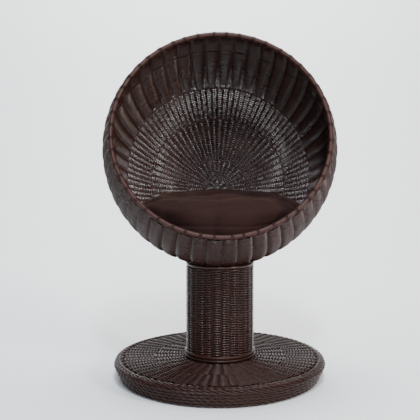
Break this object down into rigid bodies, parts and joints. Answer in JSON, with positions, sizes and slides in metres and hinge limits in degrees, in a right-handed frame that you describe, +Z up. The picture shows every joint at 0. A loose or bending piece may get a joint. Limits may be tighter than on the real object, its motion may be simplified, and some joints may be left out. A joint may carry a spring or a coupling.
{
  "type": "wicker pet bed basket",
  "caption": "Free-standing woven pet bed: a tilted ball basket with a round mouth, bolted on a woven column and round base, with a thick loose cushion inside.",
  "frame": {"origin": "on the floor, on the vertical axis of the column, at the underside of the middle glide", "axes": "+Z up along the column, -Y towards the side that the mouth faces, +X to the right of someone who looks into the mouth"},
  "size_m": [0.5079, 0.4895, 0.7632],
  "materials": {
    "cane": "glossy dark espresso paint over woven cane",
    "rim_cane": "glossy reddish brown paint over one thick cane and its lashings",
    "plywood": "dark-stained plywood and fibre tube, unseen",
    "steel": "zinc plated",
    "rubber": "matt black",
    "suede": "dark chocolate brushed suede cloth",
    "filling": "white fibre",
    "zip_tape": "woven zip tape"
  },
  "bodies": {
    "root": {"base_glides": "rubber", "base_glide_nails": "steel", "base_board": "plywood", "base_foot_border": "cane", "base_hoop": "cane", "base_stakes": "cane", "base_edge_stakes": "cane", "base_weave_top": "cane", "base_weave_edge": "cane", "base_collar": "cane", "base_bolts": "steel", "column_core": "plywood", "column_foot_plug": "plywood", "column_head_plug": "plywood", "column_stakes": "cane", "column_weave": "cane", "column_top_band": "cane", "tee_nuts": "steel", "ball_bolts": "steel", "ball_washers": "steel", "ball_clamp_plate": "plywood", "ball_rim_cane": "rim_cane", "ball_rim_lashing": "rim_cane", "ball_stakes": "cane", "ball_back_stakes": "cane", "ball_crown_stakes": "cane", "ball_ring_front": "cane", "ball_ring_middle": "cane", "ball_ring_back": "cane", "ball_weave_mouth": "cane", "ball_weave_side": "cane", "ball_weave_back": "cane", "ball_weave_crown": "cane"},
    "cushion": {"cushion_top_panel": "suede", "cushion_bottom_panel": "suede", "cushion_filling": "filling", "cushion_zip": "zip_tape"},
    "zip_slider": {"zip_slider": "steel"}
  },
  "joints": [
    {"name": "cushion_lift", "type": "slide", "parent": "root", "child": "cushion", "axis": [0, -0.5299, 0.848], "range_m": [0, 0.45]},
    {"name": "zip_run", "type": "hinge", "parent": "cushion", "child": "zip_slider", "pos_m": [0, 0, 0.36161], "axis": [0, 0, 1], "range_deg": [0, 100]}
  ]
}
